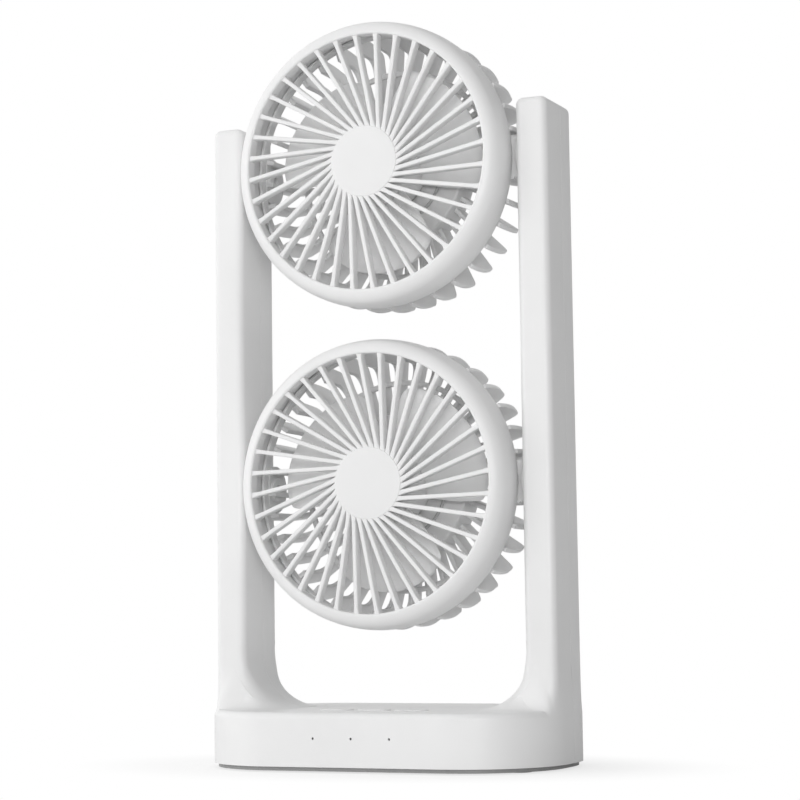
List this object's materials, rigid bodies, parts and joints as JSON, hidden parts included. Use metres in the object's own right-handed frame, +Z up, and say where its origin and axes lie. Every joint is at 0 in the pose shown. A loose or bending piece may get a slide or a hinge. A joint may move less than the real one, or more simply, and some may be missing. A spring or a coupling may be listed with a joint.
{
  "type": "desk fan",
  "caption": "Desk fan with round tilting heads stacked in a U-shaped frame that rises from an oval base with push buttons.",
  "frame": {"origin": "on the surface it stands on, under the middle of the base", "axes": "+Z up, +Y to the rear, +X to the right seen from the front; the heads blow towards -Y"},
  "size_m": [0.1696, 0.0982, 0.3397],
  "materials": {
    "shell_white": "fine matte moulding",
    "guard_white": "fine matte moulding",
    "blade_white": "satin moulding",
    "cover_grey": "matte moulding",
    "foot_rubber": "matte",
    "button_white": "satin moulding",
    "switch_black": "matte",
    "board_green": "solder-masked board",
    "lamp_clear": "clear moulding",
    "screw_steel": "zinc-plated",
    "socket_steel": "bright",
    "cell_wrap": "shrink sleeve",
    "lead_sleeve": "satin sleeve",
    "bush_white": "plain bearing plastic",
    "motor_steel": "drawn steel",
    "magnet_dark": "bonded magnet",
    "core_steel": "laminated iron",
    "coil_copper": "enamelled winding",
    "tube_brass": "turned"
  },
  "bodies": {
    "stand": {"front_shell": "shell_white", "rear_shell": "shell_white", "base_cover": "cover_grey", "rubber_feet": "foot_rubber", "shell_screws": "screw_steel", "base_screws": "screw_steel", "main_board": "board_green", "board_screws": "screw_steel", "tact_switches": "switch_black", "status_leds": "lamp_clear", "light_pipes": "lamp_clear", "usb_board": "board_green", "usb_socket": "socket_steel", "battery_cells": "cell_wrap", "battery_cradle": "switch_black", "upper_fan_leads": "lead_sleeve", "lower_fan_leads": "lead_sleeve", "upper_left_bush": "bush_white", "upper_right_bush": "bush_white", "lower_left_bush": "bush_white", "lower_right_bush": "bush_white"},
    "left_key": {"left_button": "button_white", "left_plunger": "switch_black"},
    "middle_key": {"middle_button": "button_white", "middle_plunger": "switch_black"},
    "right_key": {"right_button": "button_white", "right_plunger": "switch_black"},
    "upper_head": {"upper_front_guard": "guard_white", "upper_rear_guard": "guard_white", "upper_rear_cap": "guard_white", "upper_trunnions": "bush_white", "upper_pivot_clips": "motor_steel", "upper_motor_board": "board_green", "upper_motor_screws": "screw_steel", "upper_bearing_tube": "tube_brass", "upper_bearings": "motor_steel", "upper_stator_core": "core_steel", "upper_stator_coils": "coil_copper", "upper_motor_leads": "lead_sleeve"},
    "upper_rotor": {"upper_shaft": "motor_steel", "upper_rotor_can": "motor_steel", "upper_magnet_ring": "magnet_dark", "upper_impeller": "blade_white"},
    "lower_head": {"lower_front_guard": "guard_white", "lower_rear_guard": "guard_white", "lower_rear_cap": "guard_white", "lower_trunnions": "bush_white", "lower_pivot_clips": "motor_steel", "lower_motor_board": "board_green", "lower_motor_screws": "screw_steel", "lower_bearing_tube": "tube_brass", "lower_bearings": "motor_steel", "lower_stator_core": "core_steel", "lower_stator_coils": "coil_copper", "lower_motor_leads": "lead_sleeve"},
    "lower_rotor": {"lower_shaft": "motor_steel", "lower_rotor_can": "motor_steel", "lower_magnet_ring": "magnet_dark", "lower_impeller": "blade_white"}
  },
  "joints": [
    {"name": "left_press", "type": "slide", "parent": "stand", "child": "left_key", "axis": [0, 0, -1], "range_m": [0, 0.0004], "stiffness_N_per_m": 2500},
    {"name": "middle_press", "type": "slide", "parent": "stand", "child": "middle_key", "axis": [0, 0, -1], "range_m": [0, 0.0004], "stiffness_N_per_m": 2500},
    {"name": "right_press", "type": "slide", "parent": "stand", "child": "right_key", "axis": [0, 0, -1], "range_m": [0, 0.0004], "stiffness_N_per_m": 2500},
    {"name": "lower_tilt", "type": "hinge", "parent": "stand", "child": "lower_head", "pos_m": [0, 0, 0.1274], "axis": [1, 0, 0], "range_deg": [-90, 90]},
    {"name": "lower_spin", "type": "hinge", "parent": "lower_head", "child": "lower_rotor", "pos_m": [0, 0, 0.1274], "axis": [0, 1, 0], "continuous": true},
    {"name": "upper_tilt", "type": "hinge", "parent": "stand", "child": "upper_head", "pos_m": [0, 0, 0.27375], "axis": [1, 0, 0], "range_deg": [-90, 90]},
    {"name": "upper_spin", "type": "hinge", "parent": "upper_head", "child": "upper_rotor", "pos_m": [0, 0, 0.27375], "axis": [0, 1, 0], "continuous": true}
  ]
}
